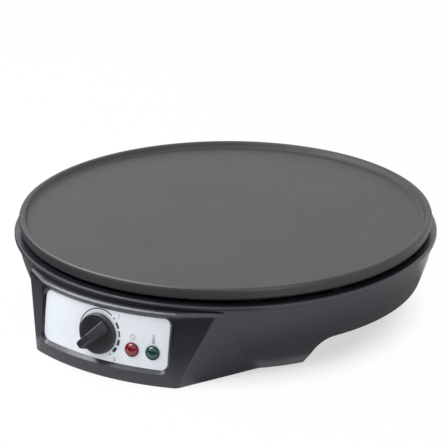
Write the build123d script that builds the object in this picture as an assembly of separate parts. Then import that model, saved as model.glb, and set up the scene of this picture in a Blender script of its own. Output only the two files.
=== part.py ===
from build123d import *
import os
from math import sin, cos, radians, degrees, atan2, hypot

# Electric crepe maker. Millimetres, +Z up, the control pod faces -Y. Every piece is drawn about the
# plate's axis, with angles round it measured from -Y towards +X, and is then moved back by AXIS_Y as
# it is saved, so that the origin lies on the table top under the middle of the whole footprint.

# ---- main sizes ---------------------------------------------------------------------------
AXIS_Y = 11.0          # the plate's axis stands this far behind the origin
LIP_R = 165.0          # outer radius of the bead round the top of the base
LIP_TOP = 61.5
LIP_H = 4.0
LIP_IN_R = 157.0       # mouth of the base, covered by the plate
WALL = 2.5             # base moulding wall
WALL_TOP_R = 163.0     # base wall outside, right under the bead
WALL_MID = (154.5, 26.0)
WALL_BOT_R = 144.5
SHELL_Z = 3.5          # lowest edge of the base moulding
SKIRT_Z = 24.0         # raised edge at the two sides, room for fingers
ARCH_Y_LOW = 85.7      # half length of the raised stretch at the floor and at its top
ARCH_Y_TOP = 81.8
ARCH_R = 11.0

PLATE_R = 161.0
PLATE_GAP = 2.5        # air between the bead and the plate
PLATE_T = 5.3
RIM_H, RIM_W = 9.5, 5.0
PLATE_UNDER = LIP_TOP + PLATE_GAP
COOK_Z = PLATE_UNDER + PLATE_T        # cooking surface
RIM_TOP = PLATE_UNDER + RIM_H
PLATE_BOSS_D = 12.0

# ---- control pod --------------------------------------------------------------------------
POD_TOP_Z = LIP_TOP - LIP_H
POD_TOP_R, POD_MID_R, POD_LOW_R = 171.0, 176.5, 178.8
POD_MID_Z = (POD_TOP_Z + SHELL_Z) / 2
POD_FRONT_WALL = 5.0
POD_BACK_Y = -90.0     # the pod ends inside the bowl
FACET_AZ = 20.4        # where the front face ends and the slanted facet starts
FACET_TURN, FACET_LEAN = 33.3, 7.4
FLANK_POINT = (81.4, -146.0, POD_TOP_Z - 0.5)
FLANK_TURN, FLANK_LEAN = 60.0, -6.9
FACET_ROUND, FLANK_ROUND = 12.0, 4.0     # upright edges of a facet, beside the front and beside the flank
POD_EDGE, POD_BROW = 1.2, 3.6

PANEL_W, PANEL_CORNER = 107.0, 5.0
PANEL_Z0, PANEL_Z1 = SHELL_Z + 12.1, POD_TOP_Z - 4.7
PANEL_T = 1.0
PANEL_SINK = 2.2       # panel face below the frame around it
PANEL_GAP = 0.25
FRAME_BEVEL = 2.2      # slanted inner edge of the frame
SCREW_FACE = -PANEL_SINK - PANEL_T - 2.3   # thermostat screw heads bear here, behind the panel

KNOB_Z = 35.0
LAMP_AZ = (9.05, 14.2)
LAMP_Z = 28.3
SHAFT_D = 6.0
SHAFT_GAP = 0.05       # running clearance on the radius
BUSH_D = 9.0
KNOB_R = 14.9
KNOB_H = 1.8           # top of the round skirt
GRIP_H = 9.8
GRIP_W, GRIP_DRAFT = 10.8, 14.0    # foot of the grip and how much its sides lean in
SHAFT_END = 4.6
FLAT_END = -0.4        # where the flat on the shaft starts
KNOB_FLOAT = 0.5       # air between the knob and the panel
REST_TURN = 225.0      # pointer clockwise from twelve o'clock in the off position

# ---- inside -------------------------------------------------------------------------------
COVER_T = 2.5
COVER_SET = 1.5        # cover set in from the lower edge of the shell
COVER_GAP = 0.4
COVER_Z = SHELL_Z + COVER_SET
COVER_TOP = COVER_Z + COVER_T
RAISED_TOP = SKIRT_Z + COVER_SET + COVER_T

REFL_R = 147.0
REFL_Z = PLATE_UNDER - 12.8          # underside
REFL_T = 0.8
REFL_RIM = 5.0
POST_XY = 55.0
POST_D = 13.0
SCREW_SEAT = REFL_Z - 9.2   # plate screw heads, inside the posts
M4 = 4.0
M4_HOLE = 4.5
M3 = 3.0

ELEMENT_R = 112.0
TUBE_D = 7.0
TUBE_Z = PLATE_UNDER - TUBE_D / 2 - 0.1
ELEMENT_GAP_AZ = 14.0
LEG_X, LEG_Y = 15.5, -111.6
LEG_BEND = 9.0
LEG_LOW = PLATE_UNDER - 20.0
PIN_D, PIN_LOW = 3.0, LEG_LOW - 13.0
CLAMP_AZ = (70, 150, 210, 290)
CLAMP_T = 1.2

FOOT_D, FOOT_STEM, FOOT_HEAD = 18.0, 8.0, 11.0
FEET = ((-60, -128), (60, -128), (-80, 102), (80, 102))
BOSS_D = 9.0
BOSS_XY = ((-51, -161.5), (51, -161.5), (-98, -97.5), (98, -97.5), (-98, 97.5), (98, 97.5))
BOSS_TOP = 26.0

INLET_Z = 18.0
INLET_PAD_Y = 157.0
INLET_HOLE_D, INLET_BORE_D = 13.6, 7.4
INLET_PLAY = 0.15
BLOCK_Y = 112.0
BLOCK_SIZE = (34.0, 18.0, 15.0)
WIRE_D, THIN_D = 2.4, 1.4


# ---- helpers ------------------------------------------------------------------------------
def polar(r, az, z=0.0):
    """Point at radius r, az degrees round from -Y towards +X."""
    return (r * sin(radians(az)), -r * cos(radians(az)), z)


def arc_centre(a, b, c):
    """Centre of the circle through three (radius, height) points."""
    (ax, ay), (bx, by), (cx, cy) = a, b, c
    d = 2 * (ax * (by - cy) + bx * (cy - ay) + cx * (ay - by))
    a2, b2, c2 = ax * ax + ay * ay, bx * bx + by * by, cx * cx + cy * cy
    return ((a2 * (by - cy) + b2 * (cy - ay) + c2 * (ay - by)) / d,
            (a2 * (cx - bx) + b2 * (ax - cx) + c2 * (bx - ax)) / d)


POD_ARC = ((POD_TOP_R, POD_TOP_Z), (POD_MID_R, POD_MID_Z), (POD_LOW_R, SHELL_Z))
POD_C = arc_centre(*POD_ARC)
POD_RAD = hypot(POD_TOP_R - POD_C[0], POD_TOP_Z - POD_C[1])
BOWL_ARC = ((WALL_TOP_R, POD_TOP_Z), WALL_MID, (WALL_BOT_R, SHELL_Z))
BOWL_C = arc_centre(*BOWL_ARC)
BOWL_RAD = hypot(WALL_TOP_R - BOWL_C[0], POD_TOP_Z - BOWL_C[1])


def arc_r(c, rad, z, inset=0.0):
    """Radius of a bulged wall at height z, moved inwards by inset."""
    return c[0] + ((rad - inset) ** 2 - (z - c[1]) ** 2) ** 0.5


def drum(c, rad, inset, z0, z1):
    """Solid of revolution with a bulged side, between two heights."""
    p = [(arc_r(c, rad, z, inset), 0, z) for z in (z0, (z0 + z1) / 2, z1)]
    side = ThreePointArc(*p)
    rest = Polyline(p[2], (0, 0, z1), (0, 0, z0), p[0])
    return revolve(make_face(side.edges() + rest.edges()), Axis.Z)


def turned(*rz):
    """Solid of revolution from a closed outline of (radius, height) points."""
    return revolve(make_face(Polyline(*[(r, 0, z) for r, z in rz], close=True).edges()), Axis.Z)


def rod(x, y, z0, z1, d):
    return Pos(x, y, (z0 + z1) / 2) * Cylinder(d / 2, z1 - z0)


def block(x0, x1, y0, y1, z0, z1):
    return Pos((x0 + x1) / 2, (y0 + y1) / 2, (z0 + z1) / 2) * Box(x1 - x0, y1 - y0, z1 - z0)


def front_plane(az, z):
    """Plane on the pod front: x to the right, y up the face, z out of it."""
    r = arc_r(POD_C, POD_RAD, z)
    out, up = r - POD_C[0], z - POD_C[1]
    n = (sin(radians(az)) * out / POD_RAD, -cos(radians(az)) * out / POD_RAD, up / POD_RAD)
    return Plane(origin=polar(r, az, z), x_dir=(cos(radians(az)), sin(radians(az)), 0), z_dir=n)


def on(plane, x, y, z0, z1, d):
    """Round bar square to a plane, from z0 to z1 in front of it."""
    return plane * (Pos(x, y, (z0 + z1) / 2) * Cylinder(d / 2, z1 - z0))


def slab(plane, w, h, z0, z1, x=0.0, y=0.0):
    return plane * (Pos(x, y, (z0 + z1) / 2) * Box(w, h, z1 - z0))


def lead(points, d, bend=7.0):
    """Insulated lead or tube: straight runs joined by arcs."""
    path = FilletPolyline(*points, radius=bend)
    first = Vector(*points[1]) - Vector(*points[0])
    return sweep(Plane(origin=points[0], z_dir=first) * Circle(d / 2), path=path)


def group(*solids):
    return Compound([s for one in solids for s in one.solids()])


def save(name, shape):
    shape = Pos(0, AXIS_Y, 0) * shape
    shape.label = name
    export_step(shape, os.path.join("parts", name + ".step"))


KNOB_PLANE = front_plane(0, KNOB_Z)
LAMP_PLANES = [front_plane(az, LAMP_Z) for az in LAMP_AZ]


# ---- base moulding ------------------------------------------------------------------------
def side_plane(point, turn, lean, inset):
    n = Vector(*polar(cos(radians(lean)), turn, sin(radians(lean))))
    return Plane(origin=Vector(*point) - n * inset, z_dir=n)


def pod_body(inset, front_inset, z0, z1):
    """Pod outline moved inwards: bulged front, two slanted facets and two flanks."""
    body = drum(POD_C, POD_RAD, front_inset, z0, z1) & block(-200, 200, -200, POD_BACK_Y, z0, z1)
    facet_at = polar(arc_r(POD_C, POD_RAD, POD_TOP_Z), FACET_AZ, POD_TOP_Z)
    for s in (1, -1):
        for at, turn, lean in ((facet_at, FACET_TURN, FACET_LEAN), (FLANK_POINT, FLANK_TURN, FLANK_LEAN)):
            cut = side_plane((s * at[0], at[1], at[2]), s * turn, lean, inset)
            body = split(body, bisect_by=cut, keep=Keep.BOTTOM)
    return body


def arch(grow):
    """Tunnel across the underside that leaves the two sides of the base raised."""
    low, top, z = ARCH_Y_LOW + grow, ARCH_Y_TOP + grow, SKIRT_Z + grow
    out = Polyline((0, -low - 1, -6), (0, -top, z), (0, top, z), (0, low + 1, -6), close=True)
    face = make_face(out.edges())
    face = fillet(face.vertices().sort_by(Axis.Z)[-2:], ARCH_R - grow)
    return Pos(-200, 0, 0) * extrude(face, 400, dir=(1, 0, 0))


def panel_window(grow):
    """Rounded window of the control panel, pushed through the pod front."""
    w, h = PANEL_W + 2 * grow, PANEL_Z1 - PANEL_Z0 + 2 * grow
    at = Plane(origin=(0, -150, (PANEL_Z0 + PANEL_Z1) / 2), x_dir=(1, 0, 0), z_dir=(0, -1, 0))
    return extrude(at * RectangleRounded(w, h, PANEL_CORNER + grow), 40)


def front_skin(inset_out, inset_in):
    """Curved slice parallel to the pod front."""
    z0, z1 = SHELL_Z + 1, POD_TOP_Z - 1
    return drum(POD_C, POD_RAD, inset_out, z0, z1) - drum(POD_C, POD_RAD, inset_in, z0 - 1, z1 + 1)


def outer_body():
    bowl = drum(BOWL_C, BOWL_RAD, 0, SHELL_Z, POD_TOP_Z)
    pod = pod_body(0, 0, SHELL_Z, POD_TOP_Z)
    for pair, radius in ((slice(0, 2), FACET_ROUND), (slice(-2, None), FLANK_ROUND)):
        upright = pod.edges().filter_by(lambda e: e.center().Y < -130 and e.bounding_box().size.Z > 40)
        pod = fillet(sorted(upright, key=lambda e: abs(e.center().X))[pair], radius)
    for level, radius in ((POD_TOP_Z, POD_BROW), (SHELL_Z, POD_EDGE)):
        rim = pod.edges().filter_by(lambda e: e.center().Y < -130 and abs(e.center().Z - level) < 0.5)
        pod = fillet(rim, radius)
    lip = turned((0, POD_TOP_Z - 0.5), (LIP_R - 2, POD_TOP_Z - 0.5), (LIP_R - 0.4, POD_TOP_Z + 0.4),
                 (LIP_R, POD_TOP_Z + 1.4), (LIP_R, LIP_TOP - 1.2), (LIP_R - 0.5, LIP_TOP - 0.4),
                 (LIP_R - 1.6, LIP_TOP), (0, LIP_TOP))
    return bowl, pod, lip


def panel_recess():
    """Pocket of the control panel, opened out by the slanted inner edge of its frame."""
    proud = 1.0        # the cutter stands this far out of the pod front
    front = drum(POD_C, POD_RAD, -proud, SHELL_Z, POD_TOP_Z) & block(-200, 200, -200, POD_BACK_Y, SHELL_Z, POD_TOP_Z)
    holed = front - (front_skin(-9, PANEL_SINK + PANEL_T) & panel_window(PANEL_GAP))

    def on_mouth(e):
        c = e.center()
        off = hypot(hypot(c.X, c.Y) - POD_C[0], c.Z - POD_C[1]) - POD_RAD - proud
        return abs(off) < 0.3 and abs(c.X) < PANEL_W / 2 + 1 and abs(c.Z - POD_MID_Z) < (PANEL_Z1 - PANEL_Z0) / 2 + 6
    return front - chamfer(holed.edges().filter_by(on_mouth), FRAME_BEVEL + proud)


def base_shell():
    bowl, pod, lip = outer_body()
    shell = pod + bowl + lip
    inside = drum(BOWL_C, BOWL_RAD, WALL, SHELL_Z - 1, POD_TOP_Z)
    inside += pod_body(WALL, POD_FRONT_WALL, SHELL_Z - 1, POD_TOP_Z - WALL)
    inside += rod(0, 0, POD_TOP_Z - 1, LIP_TOP + 1, 2 * LIP_IN_R)
    outer = shell
    shell = shell - inside - arch(0)
    # flat seat for the thermostat behind the front, bosses with webs for the cover screws
    shell += slab(KNOB_PLANE, SEAT_W, 30, SEAT, 0.2 - POD_FRONT_WALL)
    for x, y in BOSS_XY:
        boss = rod(x, y, COVER_TOP, BOSS_TOP, BOSS_D)
        n = Vector(x, y, 0).normalized()
        web = Pos(x, y, (COVER_TOP + BOSS_TOP) / 2) * Rot(0, 0, degrees(atan2(n.Y, n.X))) \
            * Pos(8, 0, 0) * Box(16, 3, BOSS_TOP - COVER_TOP)
        shell += boss + (web & outer)
        shell -= rod(x, y, COVER_TOP - 1, BOSS_TOP - 4, M3)
    shell -= panel_recess()
    # flat pad and hole for the cord bush at the back
    pad = block(-14, 14, 140, INLET_PAD_Y, SHELL_Z + 2, INLET_Z + 14)
    shell += pad - inside
    shell -= Pos(0, 150, INLET_Z) * Rot(90, 0, 0) * Cylinder(INLET_HOLE_D / 2 + INLET_PLAY, 40)
    # knob shaft, thermostat screws and lamp holes
    shell -= on(KNOB_PLANE, 0, 0, -12, 4, BUSH_D + 0.6)
    for sx in (-1, 1):
        shell -= on(KNOB_PLANE, 14 * sx, 0, -12, 0, M3 + 0.4)
        shell -= on(KNOB_PLANE, 14 * sx, 0, SCREW_FACE, 0, 6.2)
    for p in LAMP_PLANES:
        shell -= on(p, 0, 0, -12, 4, 8.6)
    return shell


def control_panel():
    panel = front_skin(PANEL_SINK, PANEL_SINK + PANEL_T) & panel_window(0)
    panel -= on(KNOB_PLANE, 0, 0, -6, 6, BUSH_D + 0.6)
    for p in LAMP_PLANES:
        panel -= on(p, 0, 0, -6, 6, 8.6)
    return panel


def bottom_cover():
    fit = WALL + COVER_GAP
    inner = drum(BOWL_C, BOWL_RAD, fit, COVER_Z, 40)
    inner += pod_body(fit, POD_FRONT_WALL + COVER_GAP, COVER_Z, 40)
    lower = block(-200, 200, -200, 200, COVER_Z, 36) - arch(COVER_SET)
    upper = block(-200, 200, -200, 200, COVER_TOP, 36) - arch(COVER_SET + COVER_T)
    cover = (lower - upper) & inner
    for x in (-POST_XY, POST_XY):
        for y in (-POST_XY, POST_XY):
            cover += rod(x, y, RAISED_TOP - 1, REFL_Z, POST_D)
            cover -= rod(x, y, SKIRT_Z, SCREW_SEAT, 9.0)
            cover -= rod(x, y, SKIRT_Z, REFL_Z + 1, M4_HOLE)
    for x, y in FEET:
        cover -= rod(x, y, 0, 15, FOOT_STEM + 0.4)
    for x, y in BOSS_XY:
        cover -= rod(x, y, 0, 15, M3 + 0.4)
    for i in range(7):
        for sx in (-1, 1):
            slot = SlotOverall(34, 3.2)
            cover -= Pos(sx * 28, -36 + 12 * i, SKIRT_Z) * extrude(slot, 8)
    # cord rest with two screw posts, and two pads under the terminal block
    cover += block(-5.5, 5.5, 129, 135, COVER_TOP - 1, INLET_Z - INLET_BORE_D / 2)
    for x in (-11, 11):
        cover += rod(x, 132, COVER_TOP - 1, INLET_Z + INLET_BORE_D / 2, 8)
        cover -= rod(x, 132, COVER_TOP + 2, INLET_Z + 8, M3)
    cover += block(-15, 15, BLOCK_Y - 6, BLOCK_Y + 6, COVER_TOP - 1, COVER_TOP + 2)
    for x in (-5, 5):
        cover -= rod(x, BLOCK_Y, COVER_Z + 1, COVER_TOP + 3, 2.5)
    return cover


# ---- plate and heating --------------------------------------------------------------------
def clamp_spots():
    return [(polar(ELEMENT_R - 15, az), polar(ELEMENT_R + 15, az)) for az in CLAMP_AZ]


def cooking_plate():
    r = PLATE_R
    plate = turned((0, PLATE_UNDER), (r - 3, PLATE_UNDER), (r - 1.2, PLATE_UNDER + 0.8), (r - 0.6, PLATE_UNDER + 2),
                   (r, RIM_TOP - 2), (r - 0.5, RIM_TOP - 0.7), (r - 1.6, RIM_TOP), (r - RIM_W + 1.4, RIM_TOP),
                   (r - RIM_W + 0.3, RIM_TOP - 0.6), (r - RIM_W - 1.4, COOK_Z + 0.8),
                   (r - RIM_W - 3, COOK_Z), (0, COOK_Z))
    # two ribs make the channel of the heating tube
    for a in (ELEMENT_R - TUBE_D / 2 - 3.4, ELEMENT_R + TUBE_D / 2 + 0.4):
        plate += turned((a, PLATE_UNDER - 4), (a + 3, PLATE_UNDER - 4), (a + 3, PLATE_UNDER + 1), (a, PLATE_UNDER + 1))
    for x in (-POST_XY, POST_XY):
        for y in (-POST_XY, POST_XY):
            plate += rod(x, y, REFL_Z + REFL_T, PLATE_UNDER + 1, PLATE_BOSS_D)
            plate -= rod(x, y, REFL_Z, PLATE_UNDER - 1, M4 + 0.2)
    for pair in clamp_spots():
        for x, y, _ in pair:
            plate += rod(x, y, PLATE_UNDER - TUBE_D - 0.1, PLATE_UNDER + 1, 9)
            plate -= rod(x, y, PLATE_UNDER - TUBE_D - 1, PLATE_UNDER + 1, M3 + 0.2)
    for y in (BULB_Y - 8, BULB_Y + 8):
        plate += rod(BULB_CLIP_X, y, BULB_Z - BULB_D / 2 - 0.2, PLATE_UNDER + 1, 7)
        plate -= rod(BULB_CLIP_X, y, BULB_Z - BULB_D, PLATE_UNDER + 1, M3 + 0.2)
    return plate


def element_path():
    left, right = polar(ELEMENT_R, -ELEMENT_GAP_AZ, TUBE_Z), polar(ELEMENT_R, ELEMENT_GAP_AZ, TUBE_Z)
    ring = ThreePointArc(right, polar(ELEMENT_R, 180, TUBE_Z), left)
    legs = []
    for s, end in ((1, right), (-1, left)):
        legs.append(FilletPolyline((s * LEG_X, LEG_Y, LEG_LOW), (s * LEG_X, LEG_Y, TUBE_Z), end, radius=LEG_BEND))
    return Wire(legs[0].edges() + ring.edges() + legs[1].edges())


def heating_element():
    start = Plane(origin=(LEG_X, LEG_Y, LEG_LOW), z_dir=(0, 0, 1))
    return sweep(start * Circle(TUBE_D / 2), path=element_path())


def element_pins():
    pins = []
    for s in (-1, 1):
        seal = rod(s * LEG_X, LEG_Y, LEG_LOW - 4, LEG_LOW - 0.05, TUBE_D - 0.6)
        pin = rod(s * LEG_X, LEG_Y, PIN_LOW + 9, LEG_LOW - 4, PIN_D)
        tab = block(s * LEG_X - 3.15, s * LEG_X + 3.15, LEG_Y - 0.4, LEG_Y + 0.4, PIN_LOW, PIN_LOW + 10)
        pins.append(seal + pin + tab)
    return group(*pins)


def element_clamps():
    straps = []
    z = PLATE_UNDER - TUBE_D - 0.1
    for az, pair in zip(CLAMP_AZ, clamp_spots()):
        x, y, _ = polar(ELEMENT_R, az)
        strap = Pos(x, y, z - CLAMP_T / 2) * Rot(0, 0, az - 90) * Box(40, 11, CLAMP_T)
        for px, py, _ in pair:
            strap -= rod(px, py, z - 5, z + 5, M3 + 0.3)
        straps.append(strap)
    return group(*straps)


def pan_screw(x, y, z, length, d, head_d, head_h):
    """Upright screw whose head is under z."""
    head = rod(x, y, z - head_h, z, head_d)
    cross = Pos(x, y, z - head_h) * (Box(head_d * 0.6, 0.8, 2) + Box(0.8, head_d * 0.6, 2))
    return head + rod(x, y, z - 0.01, z + length, d) - cross


def clamp_screws():
    z = PLATE_UNDER - TUBE_D - 0.1 - CLAMP_T
    return group(*[pan_screw(x, y, z, 7, M3, 5.6, 2) for pair in clamp_spots() for x, y, _ in pair])


def heat_reflector():
    top, r = REFL_Z + REFL_T, REFL_R
    dish = turned((0, REFL_Z), (r, REFL_Z), (r + 3, REFL_Z + REFL_RIM), (r + 3 - REFL_T, REFL_Z + REFL_RIM),
                  (r - REFL_T, top), (0, top))
    for x in (-POST_XY, POST_XY):
        for y in (-POST_XY, POST_XY):
            dish -= rod(x, y, REFL_Z - 1, top + 1, M4_HOLE)
    for s in (-1, 1):
        dish -= rod(s * LEG_X, LEG_Y, REFL_Z - 1, top + 1, TUBE_D + 5)
    dish -= rod(CAP_X, CAP_UP_Y, REFL_Z - 1, top + 1, 6)
    dish -= rod(*EARTH_XY, REFL_Z - 1, top + 1, M4_HOLE)
    for y in (FUSE_Y - 7, FUSE_Y + 7):
        dish -= rod(FUSE_X, y, REFL_Z - 1, top + 1, M3 - 0.2 + 0.3)
    return dish


def plate_screws():
    reach = PLATE_UNDER - 2.5 - SCREW_SEAT
    return group(*[pan_screw(x, y, SCREW_SEAT, reach, M4, 8, 3) for x in (-POST_XY, POST_XY) for y in (-POST_XY, POST_XY)])


# ---- thermostat ---------------------------------------------------------------------------
THERMO_W, THERMO_H, THERMO_DEEP = 36.0, 28.0, 18.0
SEAT_W = 38.0
SEAT = -8.0                     # seat behind the pod front, on the knob plane
BACK = SEAT - 1.0 - THERMO_DEEP
TAB_X = 10.0
BULB_D, BULB_LEN = 5.0, 56.0
BULB_Y, BULB_Z = -84.0, PLATE_UNDER - BULB_D / 2 - 0.3
BULB_X0, BULB_CLIP_X = -6.0, 24.0
CAP_X, CAP_UP_Y, CAP_D = -22.0, BULB_Y, 2.0
FUSE_X, FUSE_Y = 62.0, -92.0
EARTH_XY = (0.0, 46.0)


def thermostat_bracket():
    plate = slab(KNOB_PLANE, SEAT_W - 2, 20, SEAT - 1, SEAT)
    plate -= on(KNOB_PLANE, 0, 0, SEAT - 3, SEAT + 3, BUSH_D + 0.3)
    for sx in (-1, 1):
        plate -= on(KNOB_PLANE, 14 * sx, 0, SEAT - 3, SEAT + 3, M3 + 0.3)
    return plate


def thermostat_body():
    body = slab(KNOB_PLANE, THERMO_W, THERMO_H, BACK, SEAT - 1)
    body = fillet(body.edges().filter_by(GeomType.LINE).sort_by(Axis.Y)[-4:], 1.5)
    body += on(KNOB_PLANE, 0, 0, SEAT - 1, -1.6, BUSH_D)
    body += on(KNOB_PLANE, 0, 6, BACK - 3, BACK, 7)
    for sx in (-1, 1):
        body += slab(KNOB_PLANE, 6.3, 0.8, BACK - 8, BACK, x=TAB_X * sx, y=-6)
        body -= on(KNOB_PLANE, 14 * sx, 0, SEAT - 6, SEAT, M3 + 0.2)
    body -= on(KNOB_PLANE, 0, 0, BACK + 5, 0, SHAFT_D + 2 * SHAFT_GAP)
    return body


def thermostat_shaft():
    shaft = on(KNOB_PLANE, 0, 0, BACK + 5.3, SHAFT_END, SHAFT_D)
    deep = SHAFT_END + 1 - FLAT_END
    flat = KNOB_PLANE * Rot(0, 0, -REST_TURN) * (Pos(0, -SHAFT_D / 2 - 0.1, FLAT_END + deep / 2) * Box(10, 3.2, deep))
    return shaft - flat


def thermostat_screws():
    screws = []
    for sx in (-1, 1):
        top = SCREW_FACE + 1.2
        head = on(KNOB_PLANE, 14 * sx, 0, SCREW_FACE, top, 5.6)
        cross = slab(KNOB_PLANE, 3.4, 0.7, top - 0.6, top + 1, x=14 * sx)
        cross += slab(KNOB_PLANE, 0.7, 3.4, top - 0.6, top + 1, x=14 * sx)
        screws.append(head + on(KNOB_PLANE, 14 * sx, 0, SEAT - 5.5, SCREW_FACE + 0.1, M3) - cross)
    return group(*screws)


def knob():
    """Round skirt with a raised grip that narrows away from its pointer end."""
    base = -PANEL_SINK + KNOB_FLOAT
    disc = Pos(0, 0, (base + KNOB_H) / 2) * Cylinder(KNOB_R, KNOB_H - base)
    disc = fillet(disc.edges().filter_by(GeomType.CIRCLE).sort_by(Axis.Z)[-1], 1.6)
    tip, tail, half = KNOB_R + 0.9, -KNOB_R + 2.4, GRIP_W / 2
    right = [(half - 1.2, tail), (half, tail + 1.6), (half, tip - 3.2), (half - 1.9, tip)]
    out = make_face(Polyline(*right, *[(-x, y) for x, y in reversed(right)], close=True).edges())
    bar = extrude(Pos(0, 0, base + 0.8) * out, GRIP_H - base - 0.8, taper=GRIP_DRAFT)
    slope = Plane(origin=(0, 2, GRIP_H), x_dir=(1, 0, 0), z_dir=(0, -0.46, 0.89))
    bar = split(bar, bisect_by=slope, keep=Keep.BOTTOM)
    bar = fillet(bar.edges().filter_by(lambda e: e.center().Z > KNOB_H + 1.5), 1.3)
    body = disc + bar
    bore = Cylinder(SHAFT_D / 2 + 0.08, SHAFT_END + 0.4 - base, align=(Align.CENTER, Align.CENTER, Align.MIN))
    body -= Pos(0, 0, base) * bore
    body -= Pos(0, 0, base) * Cylinder(BUSH_D / 2 + 0.6, 1.2, align=(Align.CENTER, Align.CENTER, Align.MIN))
    return KNOB_PLANE * Rot(0, 0, -REST_TURN) * body


def knob_spring():
    """Small flat spring that fills the shaft's flat inside the knob."""
    low, high = FLAT_END + 0.3, SHAFT_END - 0.4
    leaf = Pos(0, -SHAFT_D / 2 + 0.85, (low + high) / 2) * Box(3.0, 0.5, high - low)
    return KNOB_PLANE * Rot(0, 0, -REST_TURN) * leaf


def capillary_tube():
    start = KNOB_PLANE.from_local_coords(Vector(0, 6, BACK - 3))
    step = KNOB_PLANE.from_local_coords(Vector(0, 6, BACK - 14))
    pts = [start, step, Vector(CAP_X, step.Y + 16, 40), Vector(CAP_X, CAP_UP_Y, 40),
           Vector(CAP_X, CAP_UP_Y, BULB_Z), Vector(BULB_X0, BULB_Y, BULB_Z)]
    return lead([tuple(p) for p in pts], CAP_D, bend=5.5)


def sensor_bulb():
    return Pos(BULB_X0 + BULB_LEN / 2, BULB_Y, BULB_Z) * Rot(0, 90, 0) * Cylinder(BULB_D / 2, BULB_LEN)


def bulb_clip():
    low = BULB_Z - BULB_D / 2 - 0.2
    strap = block(BULB_CLIP_X - 4, BULB_CLIP_X + 4, BULB_Y - 12, BULB_Y + 12, low - 1, low)
    for y in (BULB_Y - 8, BULB_Y + 8):
        strap -= rod(BULB_CLIP_X, y, low - 3, low + 3, M3 + 0.3)
    return strap


def bulb_clip_screws():
    low = BULB_Z - BULB_D / 2 - 1.2
    return group(*[pan_screw(BULB_CLIP_X, y, low, 7, M3, 5.6, 1.8) for y in (BULB_Y - 8, BULB_Y + 8)])


# ---- feet, screws, inlet ------------------------------------------------------------------
def rubber_feet():
    feet = []
    for x, y in FEET:
        pad = rod(x, y, 0, COVER_Z, FOOT_D)
        pad = chamfer(pad.edges().filter_by(GeomType.CIRCLE).sort_by(Axis.Z)[0], 1)
        feet.append(pad + rod(x, y, COVER_Z - 0.01, COVER_TOP + 0.01, FOOT_STEM)
                    + rod(x, y, COVER_TOP, COVER_TOP + 2, FOOT_HEAD))
    return group(*feet)


def cover_screws():
    return group(*[pan_screw(x, y, COVER_Z, 15, M3 - 0.2, 6, 2.2) for x, y in BOSS_XY])


def inlet_bush():
    def ring(y0, y1, d):
        return Pos(0, (y0 + y1) / 2, INLET_Z) * Rot(90, 0, 0) * Cylinder(d / 2, y1 - y0)
    bush = ring(INLET_PAD_Y, INLET_PAD_Y + 3, 19) + ring(142, INLET_PAD_Y + 0.01, INLET_HOLE_D)
    bush = fillet(bush.edges().filter_by(GeomType.CIRCLE).sort_by(Axis.Y)[-1], 1)
    return bush - ring(130, INLET_PAD_Y + 8, INLET_BORE_D)


def terminal_block():
    w, d, h = BLOCK_SIZE
    z = COVER_TOP + 2
    body = block(-w / 2, w / 2, BLOCK_Y - d / 2, BLOCK_Y + d / 2, z, z + h)
    for i in (-1, 0, 1):
        body -= Pos(10 * i, BLOCK_Y, z + 7.5) * Rot(90, 0, 0) * Cylinder(2.1, d + 2)
        for y in (BLOCK_Y - 4.5, BLOCK_Y + 4.5):
            body -= rod(10 * i, y, z + 9, z + h + 1, 4.6)
    for x in (-5, 5):
        body -= rod(x, BLOCK_Y, z - 1, z + h + 1, 2.8)
    return body


def terminal_parts():
    """Brass tunnels with their clamping screws, one per pole."""
    z = COVER_TOP + 2
    parts = []
    for i in (-1, 0, 1):
        tube = Pos(10 * i, BLOCK_Y, z + 7.5) * Rot(90, 0, 0) * Cylinder(2.0, BLOCK_SIZE[1] - 2)
        tube -= Pos(10 * i, BLOCK_Y, z + 7.5) * Rot(90, 0, 0) * Cylinder(1.45, BLOCK_SIZE[1])
        for y in (BLOCK_Y - 4.5, BLOCK_Y + 4.5):
            screw = rod(10 * i, y, z + 9.2, z + 13.5, 4.2) - block(10 * i - 2, 10 * i + 2, y - .4, y + .4, z + 12.5, z + 14)
            tube += screw
        parts.append(tube)
    return group(*parts)


def block_screws():
    z = COVER_TOP + 2 + BLOCK_SIZE[2]
    return group(*[rod(x, BLOCK_Y, COVER_Z + 1.2, z + 0.01, 2.3) + rod(x, BLOCK_Y, z, z + 1.8, 4.4) for x in (-5, 5)])


def cord_clamp():
    z = INLET_Z + INLET_BORE_D / 2
    bar = block(-15, 15, 128, 136, z, z + 3.5)
    for x in (-11, 11):
        bar -= rod(x, 132, z - 1, z + 5, M3 + 0.4)
    return fillet(bar.edges().filter_by(Axis.Z), 2)


def cord_clamp_screws():
    z = INLET_Z + INLET_BORE_D / 2 + 3.5
    screws = []
    for x in (-11, 11):
        head = rod(x, 132, z, z + 2.2, 5.6) - block(x - 1.9, x + 1.9, 131.6, 132.4, z + 1.2, z + 3)
        screws.append(head + rod(x, 132, COVER_TOP + 4, z + 0.01, M3 - 0.2))
    return group(*screws)


# ---- lamps --------------------------------------------------------------------------------
def lamp_lens(p):
    """Domed jewel with a flange on the panel and a hollow barrel through the wall."""
    face = -PANEL_SINK
    dome = Pos(0, 0, face + 1.0 - 3.2) * Sphere(5.4) & Pos(0, 0, face + 6) * Box(14, 14, 10)
    body = on(Plane.XY, 0, 0, face, face + 1.02, 10.4) + dome + on(Plane.XY, 0, 0, -15, face + 0.01, 8.0)
    return p * (body - on(Plane.XY, 0, 0, -16, -3.2, 5.8))


def neon_lamps():
    lamps = []
    for p in LAMP_PLANES:
        glass = on(p, 0, 0, -15.2, -3.8, 5.4)
        cap = on(p, 0, 0, -18.5, -15.1, 8.0)
        lamps.append(glass + cap - on(p, 1.6, 0, -19, -17, THIN_D + 0.2) - on(p, -1.6, 0, -19, -17, THIN_D + 0.2))
    return group(*lamps)


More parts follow.
